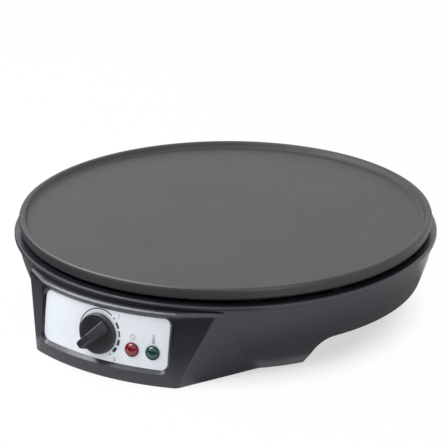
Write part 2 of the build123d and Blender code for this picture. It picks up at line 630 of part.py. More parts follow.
def lamp_retainers():
    rings = []
    for p in LAMP_PLANES:
        back = -POD_FRONT_WALL - 0.25
        rings.append(on(p, 0, 0, back - 1, back, 11.6) - on(p, 0, 0, back - 2, back + 1, 8.1))
    return group(*rings)


# ---- wiring -------------------------------------------------------------------------------
BOOT = (8.4, 3.8, 13.0)


def boot(plane):
    """Insulated push-on receptacle: tab slot at z=0 facing the tab, lead hole at the other end."""
    w, h, deep = BOOT
    body = slab(plane, w, h, -deep, 0)
    body -= slab(plane, 6.7, 1.3, -9.3, 1)
    body -= on(plane, 0, 0, -deep - 1, -9.7, WIRE_D + 0.2)
    for x in (-2.7, 2.7):
        body -= on(plane, x, 0, -deep - 1, -deep + 3, THIN_D + 0.2)
    return body


def thermo_boot_plane(s):
    origin = KNOB_PLANE.from_local_coords(Vector(TAB_X * s, -6, BACK - 0.8))
    return Plane(origin=origin, x_dir=(1, 0, 0), z_dir=KNOB_PLANE.z_dir)


def pin_boot_plane(s):
    return Plane(origin=(s * LEG_X, LEG_Y, PIN_LOW + 9.0), x_dir=(1, 0, 0), z_dir=(0, 0, 1))


def lead_terminals():
    planes = [thermo_boot_plane(-1), thermo_boot_plane(1), pin_boot_plane(-1), pin_boot_plane(1)]
    return group(*[boot(p) for p in planes])


def fuse_body():
    return Pos(FUSE_X, FUSE_Y, REFL_Z - 4) * Rot(0, 90, 0) * Cylinder(2.2, 15)


def fuse_clip():
    z = REFL_Z - 6.4
    strap = block(FUSE_X - 4, FUSE_X + 4, FUSE_Y - 10, FUSE_Y + 10, z - 0.8, z)
    for y in (FUSE_Y - 7, FUSE_Y + 7):
        strap += rod(FUSE_X, y, z - 0.1, REFL_Z, 6)
        strap -= rod(FUSE_X, y, z - 2, REFL_Z + 1, M3 + 0.3)
    return strap


def fuse_screws():
    return group(*[pan_screw(FUSE_X, y, REFL_Z - 7.2, 10, M3, 5.6, 1.8) for y in (FUSE_Y - 7, FUSE_Y + 7)])


def boot_entry(plane, back):
    """Point on the lead axis, back mm behind the tab end of a receptacle."""
    return tuple(plane.from_local_coords(Vector(0, 0, -back)))


LIVE_Z, NEUTRAL_Z, LOW_Z = 33.0, 38.0, 14.0
FUSE_AXIS = REFL_Z - 4
SPLICE_D = 6.4
SPLICE = (48.0, -132.0, COVER_TOP + SPLICE_D / 2)


def block_exit(x):
    """Two points: just outside a pole of the terminal block, and where the lead turns up."""
    z = COVER_TOP + 9.5
    return [(x, BLOCK_Y - BLOCK_SIZE[1] / 2 + 2, z), (x, 94, z)]


def live_lead():
    end, near = (boot_entry(thermo_boot_plane(-1), b) for b in (10.0, 28.0))
    return lead(block_exit(-10) + [(-10, 94, LIVE_Z), (-3, -86, LIVE_Z), near, end], WIRE_D, bend=6)


def neutral_lead():
    end = boot_entry(pin_boot_plane(-1), 10.0)
    return lead(block_exit(10) + [(10, 94, NEUTRAL_Z), (-LEG_X, -99, NEUTRAL_Z), (-LEG_X, -99, LOW_Z),
                                  (-LEG_X, LEG_Y, LOW_Z), end], WIRE_D, bend=5)


def switched_lead():
    end, near = (boot_entry(thermo_boot_plane(1), b) for b in (10.0, 30.0))
    return lead([end, near, (84, -116, 24), (84, FUSE_Y, FUSE_AXIS), (FUSE_X + 7.7, FUSE_Y, FUSE_AXIS)], WIRE_D, bend=6)


def fuse_lead():
    end = boot_entry(pin_boot_plane(1), 10.0)
    return lead([(FUSE_X - 7.7, FUSE_Y, FUSE_AXIS), (30, FUSE_Y, FUSE_AXIS), (30, -100, LOW_Z),
                 (LEG_X, LEG_Y, LOW_Z), end], WIRE_D, bend=5)


def earth_lead():
    z = REFL_Z - 2.3
    return lead(block_exit(0) + [(0, 94, z), (0, EARTH_XY[1] + 14, z)], WIRE_D, bend=6)


def earth_lug():
    x, y = EARTH_XY
    z = REFL_Z - 2.3
    lug = rod(x, y, REFL_Z - 0.8, REFL_Z, 9) + block(-2, 2, y, y + 16, REFL_Z - 0.8, REFL_Z)
    lug += Pos(0, y + 14, z) * Rot(90, 0, 0) * Cylinder(1.9, 8)
    lug -= Pos(0, y + 14, z) * Rot(90, 0, 0) * Cylinder(WIRE_D / 2 + 0.1, 10)
    return lug - rod(x, y, REFL_Z - 3, REFL_Z + 1, M4 + 0.3)


def earth_screw():
    x, y = EARTH_XY
    top = REFL_Z + REFL_T
    nut = extrude(Pos(x, y, top) * RegularPolygon(4.0, 6), 3.2)
    return pan_screw(x, y, REFL_Z - 0.8, 8, M4, 7.6, 2.6) + nut


def lamp_leads():
    """Thin pair from each lamp: one lead to a thermostat tab, the other to the shared splice."""
    def at(x, y, z):
        return tuple(KNOB_PLANE.from_local_coords(Vector(x, y, z)))
    leads = []
    feeds = (([at(8, -17, -46), at(-TAB_X - 2.7, -17, -46)], -TAB_X - 2.7), ([], TAB_X + 2.7))
    for i, (p, (via, x)) in enumerate(zip(LAMP_PLANES, feeds)):
        a, b = (tuple(p.from_local_coords(Vector(-1.6, 0, z))) for z in (-17.3, -26))
        leads.append(lead([a, b] + via + [at(x, -6, -47), at(x, -6, -38.5)], THIN_D, bend=3))
        a, b = (tuple(p.from_local_coords(Vector(1.6, 0, z))) for z in (-17.3, -24))
        sx = SPLICE[0] - 1.2 + 2.4 * i
        leads.append(lead([a, b, (sx, SPLICE[1] - 15, SPLICE[2]), (sx, SPLICE[1] - 4, SPLICE[2])], THIN_D, bend=3))
    x, y, z = SPLICE
    leads.append(lead([(x, y + 4, z), (x, LEG_Y, z), (-LEG_X - 2.7, LEG_Y, z),
                       (-LEG_X - 2.7, LEG_Y, PIN_LOW + 9 - 11)], THIN_D, bend=3))
    return group(*leads)


def splice_cap():
    x, y, z = SPLICE
    cap = Pos(x, y, z) * Rot(90, 0, 0) * Cylinder(SPLICE_D / 2, 14)
    for dx in (-1.2, 1.2):
        cap -= Pos(x + dx, y - 5, z) * Rot(90, 0, 0) * Cylinder(THIN_D / 2 + 0.1, 5)
    return cap - Pos(x, y + 5, z) * Rot(90, 0, 0) * Cylinder(THIN_D / 2 + 0.1, 5)


os.makedirs("parts", exist_ok=True)
save("base_shell", base_shell())
save("control_panel", control_panel())
save("bottom_cover", bottom_cover())
save("cooking_plate", cooking_plate())
save("heating_element", heating_element())
save("element_pins", element_pins())
save("element_clamps", element_clamps())
save("clamp_screws", clamp_screws())
save("heat_reflector", heat_reflector())
save("plate_screws", plate_screws())
save("thermostat_bracket", thermostat_bracket())
save("thermostat_body", thermostat_body())
save("thermostat_shaft", thermostat_shaft())
save("thermostat_screws", thermostat_screws())
save("knob", knob())
save("knob_spring", knob_spring())
save("capillary_tube", capillary_tube())
save("sensor_bulb", sensor_bulb())
save("bulb_clip", bulb_clip())
save("bulb_clip_screws", bulb_clip_screws())
save("rubber_feet", rubber_feet())
save("cover_screws", cover_screws())
save("inlet_bush", inlet_bush())
save("terminal_block", terminal_block())
save("terminal_parts", terminal_parts())
save("block_screws", block_screws())
save("cord_clamp", cord_clamp())
save("cord_clamp_screws", cord_clamp_screws())
save("red_lens", lamp_lens(LAMP_PLANES[0]))
save("green_lens", lamp_lens(LAMP_PLANES[1]))
save("neon_lamps", neon_lamps())
save("lamp_retainers", lamp_retainers())
save("lead_terminals", lead_terminals())
save("thermal_fuse", fuse_body())
save("fuse_clip", fuse_clip())
save("fuse_screws", fuse_screws())
save("live_lead", live_lead())
save("neutral_lead", neutral_lead())
save("switched_lead", switched_lead())
save("fuse_lead", fuse_lead())
save("earth_lead", earth_lead())
save("earth_lug", earth_lug())
save("earth_screw", earth_screw())
save("lamp_leads", lamp_leads())
save("splice_cap", splice_cap())
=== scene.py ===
# %% [markdown]
# # An electric crepe maker, cell by cell
# A crepe maker is a shallow black base that carries a round non-stick plate. At the front the base
# grows into a pod with a silver panel, a thermostat knob and two signal lamps. The engineering model
# is already made, so this lesson loads it as a fixed frame and adds what an engineer leaves out:
# finishes, printing, light and a camera. Everything is in metres, with +Z up and the pod facing -Y.

# %% Load the engineering model
from math import cos, hypot, pi, radians, sin, sqrt

import bmesh
import bpy
from mathutils import Matrix, Vector


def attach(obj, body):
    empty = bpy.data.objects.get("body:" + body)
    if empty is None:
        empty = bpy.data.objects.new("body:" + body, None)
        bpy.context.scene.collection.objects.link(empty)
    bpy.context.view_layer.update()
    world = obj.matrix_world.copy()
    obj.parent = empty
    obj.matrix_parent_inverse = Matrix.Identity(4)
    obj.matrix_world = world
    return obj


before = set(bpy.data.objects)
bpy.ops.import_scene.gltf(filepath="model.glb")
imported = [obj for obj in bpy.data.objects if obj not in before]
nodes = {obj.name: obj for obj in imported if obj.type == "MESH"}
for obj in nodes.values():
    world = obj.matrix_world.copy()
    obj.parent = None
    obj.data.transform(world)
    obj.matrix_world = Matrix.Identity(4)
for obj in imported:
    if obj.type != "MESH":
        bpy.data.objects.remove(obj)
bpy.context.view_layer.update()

# %% [markdown]
# ## The camera
# The object is seen from about 22 degrees above the table and 31 degrees round to the right of its
# pod, with a long lens, so circles stay nearly true ellipses. A camera is easiest to place on a
# sphere round the object: one azimuth, one elevation and one distance. Azimuths are measured from
# the front, -Y, towards the right, +X, here and in the rest of the script. Pan and tilt turn the
# camera a little off the middle of that sphere, which moves the object within the picture.

# %% Place the camera
AXIS = Vector((0, 0.011, 0))          # where the plate's own axis meets the table


def place_camera(azimuth, elevation, distance, look_height, lens, pan, tilt, roll):
    a, e = radians(azimuth), radians(elevation)
    outward = Vector((sin(a) * cos(e), -cos(a) * cos(e), sin(e)))
    eye = AXIS + Vector((0, 0, look_height)) + outward * distance
    turn = (Matrix.Rotation(radians(azimuth + pan), 4, "Z")
            @ Matrix.Rotation(radians(90 - elevation + tilt), 4, "X")
            @ Matrix.Rotation(radians(roll), 4, "Z"))
    data = bpy.data.cameras.new("table_camera")
    data.lens, data.sensor_width = lens, 36
    data.clip_start, data.clip_end = 0.05, 60
    camera = bpy.data.objects.new("table_camera", data)
    bpy.context.scene.collection.objects.link(camera)
    camera.matrix_world = Matrix.Translation(eye) @ turn
    bpy.context.scene.camera = camera
    print("camera at", [round(v, 3) for v in eye])


place_camera(azimuth=31.3, elevation=21.95, distance=1.300, look_height=0.050, lens=132.4,
             pan=0.06, tilt=0.35, roll=-0.29)

# %% [markdown]
# ## The table
# A product like this stands on white paper with no horizon. One wide flat disc does that here. The
# paper takes light and shadow, and a white glow is mixed in for what looks at it directly. Close to
# the base the paper's own shade counts for much, so the soft shadow shows. Beyond the base the glow
# takes over, and the table fades into the white room. The glow has to leave the lighting of the
# object alone, so it is switched by the kind of ray that arrives.

# %% Tell looking from lighting
def seen_directly(tree):
    """1 for what the camera sees, straight or in a mirror or through glass, and 0 for lighting rays."""
    path = tree.nodes.new("ShaderNodeLightPath")
    signal = path.outputs["Is Camera Ray"]
    for ray in ("Is Glossy Ray", "Is Transmission Ray"):
        either = tree.nodes.new("ShaderNodeMath")
        either.operation = "MAXIMUM"
        tree.links.new(signal, either.inputs[0])
        tree.links.new(path.outputs[ray], either.inputs[1])
        signal = either.outputs[0]
    return signal


print("rays that see a glow: camera, glossy, transmission")

# %% Table paper
PAPER = (0.76, 0.76, 0.765, 1)
GLOW_NEAR, GLOW_FAR = 0.60, 0.98      # share of the glow in what is seen of the paper
FADE_FROM, FADE_TO = 0.125, 0.168     # distance from the middle over which the share grows


def glow_share(tree):
    """Share of the glow at a point of the paper, for rays that see it directly."""
    place = tree.nodes.new("ShaderNodeTexCoord")
    reach = tree.nodes.new("ShaderNodeVectorMath")
    reach.operation = "LENGTH"
    tree.links.new(place.outputs["Object"], reach.inputs[0])
    share = tree.nodes.new("ShaderNodeMapRange")
    share.interpolation_type = "SMOOTHSTEP"
    for socket, value in (("From Min", FADE_FROM), ("From Max", FADE_TO),
                          ("To Min", GLOW_NEAR), ("To Max", GLOW_FAR)):
        share.inputs[socket].default_value = value
    tree.links.new(reach.outputs["Value"], share.inputs["Value"])
    seen = tree.nodes.new("ShaderNodeMath")
    seen.operation = "MULTIPLY"
    tree.links.new(share.outputs["Result"], seen.inputs[0])
    tree.links.new(seen_directly(tree), seen.inputs[1])
    return seen.outputs["Value"]


def table_paper():
    paper = bpy.data.materials.new("white_table_paper")
    paper.use_nodes = True
    tree = paper.node_tree
    shader = tree.nodes["Principled BSDF"]
    shader.inputs["Base Color"].default_value = PAPER
    shader.inputs["Roughness"].default_value = 0.9
    shader.inputs["Specular IOR Level"].default_value = 0.1
    glow = tree.nodes.new("ShaderNodeEmission")
    blend = tree.nodes.new("ShaderNodeMixShader")
    tree.links.new(glow_share(tree), blend.inputs["Fac"])
    tree.links.new(shader.outputs["BSDF"], blend.inputs[1])
    tree.links.new(glow.outputs["Emission"], blend.inputs[2])
    tree.links.new(blend.outputs["Shader"], tree.nodes["Material Output"].inputs["Surface"])
    return paper


print("paper with a glow share of", GLOW_NEAR, "near the base and", GLOW_FAR, "beyond it")

# %% Lay the table
TABLE_R = 7.0
TABLE_Z = -0.0002                     # a hair under the feet


def lay_table():
    bm = bmesh.new()
    bmesh.ops.create_circle(bm, cap_ends=True, segments=96, radius=TABLE_R)
    mesh = bpy.data.meshes.new("table_top")
    bm.to_mesh(mesh)
    bm.free()
    mesh.materials.append(table_paper())
    table = bpy.data.objects.new("table_top", mesh)
    bpy.context.scene.collection.objects.link(table)
    table.location.z = TABLE_Z


lay_table()
print("table of radius", TABLE_R, "m")

# %% [markdown]
# ## The room
# The room is an even white glow. The camera and mirror-like surfaces see it at full white, while as
# a light it is weaker, which leaves room for the lamps. The Standard view transform shows a colour as
# it is written.

# %% Light the room
ROOM_GLOW = 0.40          # strength of the room as a light


def light_room():
    world = bpy.data.worlds.new("white_room")
    bpy.context.scene.world = world
    world.use_nodes = True
    tree = world.node_tree
    back = tree.nodes["Background"]
    back.inputs["Color"].default_value = (1, 1, 1, 1)
    strength = tree.nodes.new("ShaderNodeMapRange")
    strength.inputs["To Min"].default_value = ROOM_GLOW
    strength.inputs["To Max"].default_value = 1.0
    tree.links.new(seen_directly(tree), strength.inputs["Value"])
    tree.links.new(strength.outputs["Result"], back.inputs["Strength"])


light_room()
bpy.context.scene.view_settings.view_transform = "Standard"
print("room glow as a light:", ROOM_GLOW)

# %% [markdown]
# ## Lamps
# Black plastic shows its shape through what it mirrors. A wide box above draws the bright lines along
# the bead and the rim, a tall box at the left and a narrower one at the right model the curved walls,
# and a fill from high in front lights the panel. The fill is kept out of reflections, so that it
# leaves no spot on the knob.

# %% Hang the soft boxes
def soft_box(name, spot, aim, wide, high, radiance, shows=True):
    """Area lamp that looks equally bright whatever its size, because its power follows its area."""
    data = bpy.data.lights.new(name, "AREA")
    data.shape, data.size, data.size_y = "RECTANGLE", wide, high
    data.energy = radiance * pi * wide * high
    lamp = bpy.data.objects.new(name, data)
    bpy.context.scene.collection.objects.link(lamp)
    lamp.location = spot
    lamp.rotation_euler = (Vector(aim) - Vector(spot)).to_track_quat("-Z", "Y").to_euler()
    lamp.visible_glossy = shows
    print(name, "radiance", radiance)


soft_box("box_above", spot=(-0.72, -0.30, 1.15), aim=(0, 0, 0.05), wide=0.80, high=1.00, radiance=7.0)
soft_box("box_left", spot=(-1.25, 0.05, 0.50), aim=(0, 0, 0.04), wide=0.30, high=0.80, radiance=2.0)
soft_box("box_right", spot=(1.05, -0.75, 0.32), aim=(0, -0.1, 0.04), wide=0.30, high=0.50, radiance=4.0)
soft_box("front_fill", spot=(-0.10, -1.25, 1.45), aim=(0, -0.15, 0.03), wide=0.90, high=0.60, radiance=4.2,
         shows=False)

# %% [markdown]
# ## Cards
# Black walls above a white table would mirror it and look grey, so cards are set round the object as in
# a studio. A low dark card stands round the left and the front, for the pod's faces, and two grey
# cards lie on the table, one at the left and one at the right. Reflections alone see the cards, so
# they neither shade the object nor show in any view. Each is a short line turned about the plate's
# axis.

# %% Set the cards
def card(name, grey, start, stop, profile):
    """Curved card: a profile of (radius, height) turned from one azimuth to another."""
    bm = bmesh.new()
    a = radians(start)
    line = [bm.verts.new(AXIS + Vector((r * sin(a), -r * cos(a), z))) for r, z in profile]
    edge = bm.edges.new(line)
    bmesh.ops.spin(bm, geom=line + [edge], cent=AXIS, axis=(0, 0, 1), angle=radians(stop - start), steps=24)
    mesh = bpy.data.meshes.new(name)
    bm.to_mesh(mesh)
    bm.free()
    felt = bpy.data.materials.new(name + "_felt")
    felt.use_nodes = True
    shader = felt.node_tree.nodes["Principled BSDF"]
    shader.inputs["Base Color"].default_value = (grey, grey, grey, 1)
    shader.inputs["Specular IOR Level"].default_value = 0.0
    mesh.materials.append(felt)
    sheet = bpy.data.objects.new(name, mesh)
    bpy.context.scene.collection.objects.link(sheet)
    for ray in ("camera", "diffuse", "shadow", "transmission", "volume_scatter"):
        setattr(sheet, "visible_" + ray, False)
    print(name, "grey", grey)


DARK_R, DARK_TOP = 0.27, 0.085          # where the dark card stands, and its height
LYING_Z = 0.0006                        # height of a card that lies on the table
card("dark_card", grey=0.03, start=-115, stop=45, profile=((DARK_R, 0.0), (DARK_R, DARK_TOP)))
card("left_grey_card", grey=0.22, start=-130, stop=-30, profile=((0.13, LYING_Z), (DARK_R, LYING_Z)))
card("right_grey_card", grey=0.80, start=26, stop=125, profile=((0.15, LYING_Z), (0.50, LYING_Z)))

# %% [markdown]
# ## How a finish is built
# Every finish here has the same three layers. The colour drifts between two close shades over a few
# millimetres or centimetres, because no moulding or sheet is perfectly even. The roughness varies
# with the same kind of noise, so a reflection breaks up a little. A fine bump gives the grain that the
# tool or the rolling mill left. Noise is read from Object coordinates, so it stays with the surface.
# Shades are written as ordinary screen values from 0 to 255, which are easier to picture than the
# linear values that a shader wants.

# %% Helpers for finishes
MICRON = 1e-6             # relief is a matter of microns


def shade(screen):
    """Linear colour of a shade written in screen values, by the sRGB curve."""
    linear = [((c / 255 + 0.055) / 1.055) ** 2.4 if c > 10 else c / 255 / 12.92 for c in screen]
    return (*linear, 1)


class Finish:
    """One node material: starts plain, and each call adds one layer to its Principled shader."""

    def __init__(self, name, **sockets):
        self.material = bpy.data.materials.new(name)
        self.material.use_nodes = True
        self.tree = self.material.node_tree
        self.shader = self.tree.nodes["Principled BSDF"]
        self.coords = self.add("ShaderNodeTexCoord").outputs["Object"]
        for socket, value in sockets.items():
            self.shader.inputs[socket.replace("_", " ")].default_value = value

    def add(self, kind, **values):
        node = self.tree.nodes.new(kind)
        for key, value in values.items():
            setattr(node, key, value)
        return node

    def stretched(self, scale):
        mapping = self.add("ShaderNodeMapping")
        mapping.inputs["Scale"].default_value = scale
        self.tree.links.new(self.coords, mapping.inputs["Vector"])
        return mapping.outputs["Vector"]

    def noise(self, scale, detail=3.0, roughness=0.55, stretch=None):
        """Noise with about this many blobs to the metre."""
        node = self.add("ShaderNodeTexNoise")
        node.inputs["Scale"].default_value = scale
        node.inputs["Detail"].default_value = detail
        node.inputs["Roughness"].default_value = roughness
        self.tree.links.new(self.stretched(stretch) if stretch else self.coords, node.inputs["Vector"])
        return node.outputs["Fac"]

    def ramp(self, signal, low, high, start=0.35, stop=0.65):
        """Turns the stretch of a signal from start to stop, where noise mostly lies, into low to high."""
        node = self.add("ShaderNodeMapRange")
        for socket, value in (("From Min", start), ("From Max", stop), ("To Min", low), ("To Max", high)):
            node.inputs[socket].default_value = value
        self.tree.links.new(signal, node.inputs["Value"])
        return node.outputs["Result"]

    def mix(self, signal, first, second, start=0.35, stop=0.65):
        """Colour that goes from the first to the second as the signal goes from start to stop."""
        node = self.add("ShaderNodeMix", data_type="RGBA")
        factor, colour_out = node.inputs[0], node.outputs[2]
        first_in, second_in = node.inputs[6:8]          # the earlier sockets mix numbers and vectors
        for socket, value in ((first_in, first), (second_in, second)):
            if isinstance(value, tuple):
                socket.default_value = value
            else:
                self.tree.links.new(value, socket)
        self.tree.links.new(self.ramp(signal, 0, 1, start, stop), factor)
        return colour_out

    def colour(self, signal):
        self.tree.links.new(signal, self.shader.inputs["Base Color"])

    def gloss(self, signal):
        self.tree.links.new(signal, self.shader.inputs["Roughness"])

    def bump(self, signal, depth, strength=1.0):
        """Adds a layer of relief; depth is in metres, and earlier layers stay under it."""
        node = self.add("ShaderNodeBump")
        node.inputs["Strength"].default_value = strength
        node.inputs["Distance"].default_value = depth
        self.tree.links.new(signal, node.inputs["Height"])
        earlier = self.shader.inputs["Normal"].links
        if earlier:
            self.tree.links.new(earlier[0].from_socket, node.inputs["Normal"])
        self.tree.links.new(node.outputs["Normal"], self.shader.inputs["Normal"])


print("screen value 38 is", round(shade((38, 38, 38))[0], 4), "in linear light")

# %% [markdown]
# ## Black moulded base
# The base is injection moulded in black heat-resistant plastic, polished in the tool but not a
# mirror: it shows soft streaks of the lamps. Its colour is a very dark, slightly cool grey, its gloss
# drifts over centimetres where the melt cooled, and a low ripple keeps long reflections from being
# ruler straight.

# %% Base plastic
BASE_DARK, BASE_LIGHT = shade((22, 23, 28)), shade((29, 30, 36))


def base_plastic():
    f = Finish("base_plastic", Specular_IOR_Level=0.85, Specular_Tint=(0.90, 0.93, 1.0, 1))
    f.colour(f.mix(f.noise(28), BASE_DARK, BASE_LIGHT))
    f.gloss(f.ramp(f.noise(60, detail=4), low=0.28, high=0.36))
    ripple, grain = f.noise(22, detail=2), f.noise(2600, detail=2)
    f.bump(ripple, depth=100 * MICRON, strength=0.35)
    f.bump(grain, depth=12 * MICRON, strength=0.5)
    return f.material


finishes = {"base_plastic": base_plastic()}
print("base plastic has", len(finishes["base_plastic"].node_tree.nodes), "shader nodes")

# %% [markdown]
# ## Non-stick coating
# The plate is cast aluminium, sprayed with a non-stick coat and baked. Sprayed coats carry an orange
# peel a couple of millimetres across and a finer speckle of harder filler. They are a touch lighter
# than the moulded base, and duller.

# %% Plate coating
COAT_DARK, COAT_LIGHT = shade((38, 38, 41)), shade((45, 45, 48))
SPECK = shade((60, 59, 63))


def nonstick():
    f = Finish("nonstick", Specular_IOR_Level=0.55)
    cloud = f.mix(f.noise(16, detail=4), COAT_DARK, COAT_LIGHT)
    f.colour(f.mix(f.noise(2400, detail=2, roughness=0.7), cloud, SPECK, start=0.60, stop=0.74))
    f.gloss(f.ramp(f.noise(900), low=0.38, high=0.50))
    orange_peel, filler = f.noise(420, detail=2), f.noise(3200, detail=2)
    f.bump(orange_peel, depth=60 * MICRON, strength=0.45)
    f.bump(filler, depth=20 * MICRON, strength=0.5)
    return f.material


finishes["nonstick"] = nonstick()
print("coating has", len(finishes["nonstick"].node_tree.nodes), "shader nodes")

# %% [markdown]
# ## Silver control panel
# The panel is a thin sheet with a bright satin silver face. Fine lines run along it, left by the
# brushing or by the film laid over it, so the noise that drives its shade and bump is squeezed
# in height and stretched along the panel.

# %% Panel metal
SILVER_DARK, SILVER_LIGHT = shade((228, 234, 241)), shade((236, 241, 247))
LINE_SHADE = shade((224, 230, 238))
ALONG, UP = 0.12, 14.0        # how much denser than plain noise the lines are along the panel and up it


def panel_metal():
    f = Finish("panel_metal", Metallic=0.08, Specular_IOR_Level=0.5)
    lines = f.noise(120, roughness=0.6, stretch=(ALONG, ALONG, UP))
    cloud = f.mix(f.noise(30, detail=2), SILVER_DARK, SILVER_LIGHT)
    f.colour(f.mix(lines, cloud, LINE_SHADE, start=0.50, stop=0.80))
    f.gloss(f.ramp(lines, low=0.38, high=0.44))
    f.bump(lines, depth=8 * MICRON, strength=0.3)
    return f.material


finishes["panel_metal"] = panel_metal()
print("panel has", len(finishes["panel_metal"].node_tree.nodes), "shader nodes")

# %% [markdown]
# ## Knob and lamp jewels
# The knob is moulded in a slightly lighter black than the base, with a duller, finer grain that
# fingers can hold. The jewels are solid cast resin: colour lives in the body of the resin, so the base
# colour is dark and saturated, and a clear coat over it holds the hard highlight.

# %% Knob plastic and jewels
KNOB_DARK, KNOB_LIGHT = shade((33, 33, 37)), shade((42, 42, 46))
RED_DARK, RED_LIGHT = shade((112, 14, 34)), shade((156, 34, 56))
GREEN_DARK, GREEN_LIGHT = shade((14, 62, 54)), shade((26, 92, 78))


def knob_plastic():
    f = Finish("knob_plastic", Specular_IOR_Level=0.62, Specular_Tint=(0.92, 0.94, 1.0, 1))
    f.colour(f.mix(f.noise(90), KNOB_DARK, KNOB_LIGHT))
    f.gloss(f.ramp(f.noise(240), low=0.32, high=0.42))
    f.bump(f.noise(2800, detail=2), depth=12 * MICRON, strength=0.5)
    return f.material


def jewel(name, dark, light):
    f = Finish(name, Transmission_Weight=0.35, IOR=1.49, Coat_Weight=0.6, Coat_Roughness=0.05)
    f.colour(f.mix(f.noise(260, detail=2), dark, light))
    f.gloss(f.ramp(f.noise(700, detail=2), low=0.10, high=0.20))
    f.bump(f.noise(500, detail=2), depth=20 * MICRON, strength=0.3)
    return f.material


finishes["knob_plastic"] = knob_plastic()
finishes["red_jewel"] = jewel("red_jewel", RED_DARK, RED_LIGHT)
finishes["green_jewel"] = jewel("green_jewel", GREEN_DARK, GREEN_LIGHT)
print("finishes so far:", ", ".join(finishes))

# %% [markdown]
# ## Everything behind the panel and under the plate
# The hidden pieces are ordinary engineering finishes: zinc plate, bare aluminium, ceramic, phenolic
# board, copper, brass, nylon, rubber and wire insulation. One table keeps their two shades, metal or
# not, roughness range and grain size, and one function turns a row into a finish. Every node's
# material slots carry the names of the finishes they want, so the last loop hands them out.

# %% Finishes for the inner pieces
# slot: two shades, metallic, lowest and highest roughness, clouds per m, grains per m, relief in microns
PLAIN = {
    "cover_plastic": ((40, 40, 42), (52, 52, 54), 0.0, 0.48, 0.60, 40, 1500, 40),
    "foot_rubber": ((34, 33, 33), (46, 45, 44), 0.0, 0.68, 0.82, 90, 2200, 50),
    "zinc_steel": ((168, 170, 174), (190, 190, 188), 1.0, 0.30, 0.46, 160, 1800, 20),
    "tube_steel": ((112, 106, 100), (142, 134, 124), 1.0, 0.36, 0.55, 120, 1600, 30),
    "reflector_metal": ((186, 188, 190), (204, 205, 206), 1.0, 0.24, 0.38, 50, 900, 30),
    "ceramic": ((222, 216, 200), (238, 233, 220), 0.0, 0.50, 0.66, 220, 2000, 40),
    "phenolic": ((66, 46, 34), (86, 60, 44), 0.0, 0.44, 0.60, 260, 1700, 30),
    "copper_tube": ((176, 104, 74), (200, 124, 92), 1.0, 0.26, 0.40, 200, 1600, 20),
    "brass_parts": ((196, 164, 96), (214, 184, 118), 1.0, 0.28, 0.42, 240, 1800, 20),
    "nylon_white": ((222, 222, 214), (236, 236, 230), 0.0, 0.42, 0.54, 160, 1600, 30),
    "bush_plastic": ((36, 36, 38), (48, 48, 50), 0.0, 0.42, 0.56, 160, 1800, 40),
    "neon_glass": ((206, 196, 186), (228, 218, 206), 0.0, 0.06, 0.14, 300, 1200, 10),
    "lead_brown": ((82, 48, 30), (100, 60, 38), 0.0, 0.40, 0.54, 200, 1800, 30),
    "lead_blue": ((36, 70, 132), (48, 86, 150), 0.0, 0.40, 0.54, 200, 1800, 30),
    "lead_black": ((34, 34, 36), (46, 46, 48), 0.0, 0.40, 0.54, 200, 1800, 30),
    "lead_earth": ((70, 128, 48), (206, 190, 40), 0.0, 0.40, 0.54, 200, 1800, 30),
}


def plain_finish(slot):
    first, second, metal, low, high, clouds, grains, relief = PLAIN[slot]
    f = Finish(slot, Metallic=metal, Specular_IOR_Level=0.5)
    f.colour(f.mix(f.noise(clouds), shade(first), shade(second)))
    f.gloss(f.ramp(f.noise(clouds * 3), low, high))
    f.bump(f.noise(grains, detail=2), depth=relief * MICRON, strength=0.5)
    return f.material


finishes.update({slot: plain_finish(slot) for slot in PLAIN})
for node in nodes.values():
    for place in node.material_slots:
        slot = place.material.name.split(".")[0]          # a second material of a name ends in .001
        place.material = finishes[slot]
print(len(finishes), "finishes on", len(nodes), "nodes")

# %% [markdown]
# ## The panel's curve
# Everything printed has to lie on the curved panel. The pod's front is an arc turned about the
# plate's axis, so three points of that arc, as radius and height, say all about it: its top edge, its
# middle and its lowest edge. Each mark is drawn flat in millimetres, from the knob's centre. Laying
# it down is one formula: across the drawing becomes the angle round the plate's axis, up becomes
# height, and the ink's thickness goes outwards along the radius.

# %% Lay drawings on the panel
MM = 0.001                  # drawings are in millimetres and the scene is in metres
POD_TOP, POD_MIDDLE, POD_FOOT = (0.1710, 0.0575), (0.1765, 0.0305), (0.1788, 0.0035)
PANEL_SINK = 0.0022         # the panel's face lies this far behind the pod's front
KNOB_Z = 0.035              # height of the knob's centre
RISE = 0.987                # height gained by a unit up the panel, because its face leans back


def circle_through(a, b, c):
    """Centre (radius from the axis, height) and radius of the circle through three points."""
    (ax, ay), (bx, by), (cx, cy) = a, b, c
    a2, b2, c2 = ax * ax + ay * ay, bx * bx + by * by, cx * cx + cy * cy
    area = 2 * (ax * (by - cy) + bx * (cy - ay) + cx * (ay - by))
    x = (a2 * (by - cy) + b2 * (cy - ay) + c2 * (ay - by)) / area
    y = (a2 * (cx - bx) + b2 * (ax - cx) + c2 * (bx - ax)) / area
    return x, y, hypot(ax - x, ay - y)


ARC_X, ARC_Z, ARC_R = circle_through(POD_TOP, POD_MIDDLE, POD_FOOT)


def panel_radius(z, proud=0.0):
    """Distance of the panel's face from the plate's axis at a height."""
    return ARC_X + sqrt((ARC_R - PANEL_SINK + proud) ** 2 - (z - ARC_Z) ** 2)


def lay_on_panel(bm, x, y):
    """Moves a flat drawing onto the panel, with its origin x and y millimetres from the knob's centre."""
    for v in bm.verts:
        az = (x + v.co.x) * MM / panel_radius(KNOB_Z)
        z = KNOB_Z + RISE * (y + v.co.y) * MM
        r = panel_radius(z, v.co.z * MM)
        v.co = AXIS + Vector((r * sin(az), -r * cos(az), z))


print("panel radius at the knob:", round(panel_radius(KNOB_Z) / MM, 2), "mm")

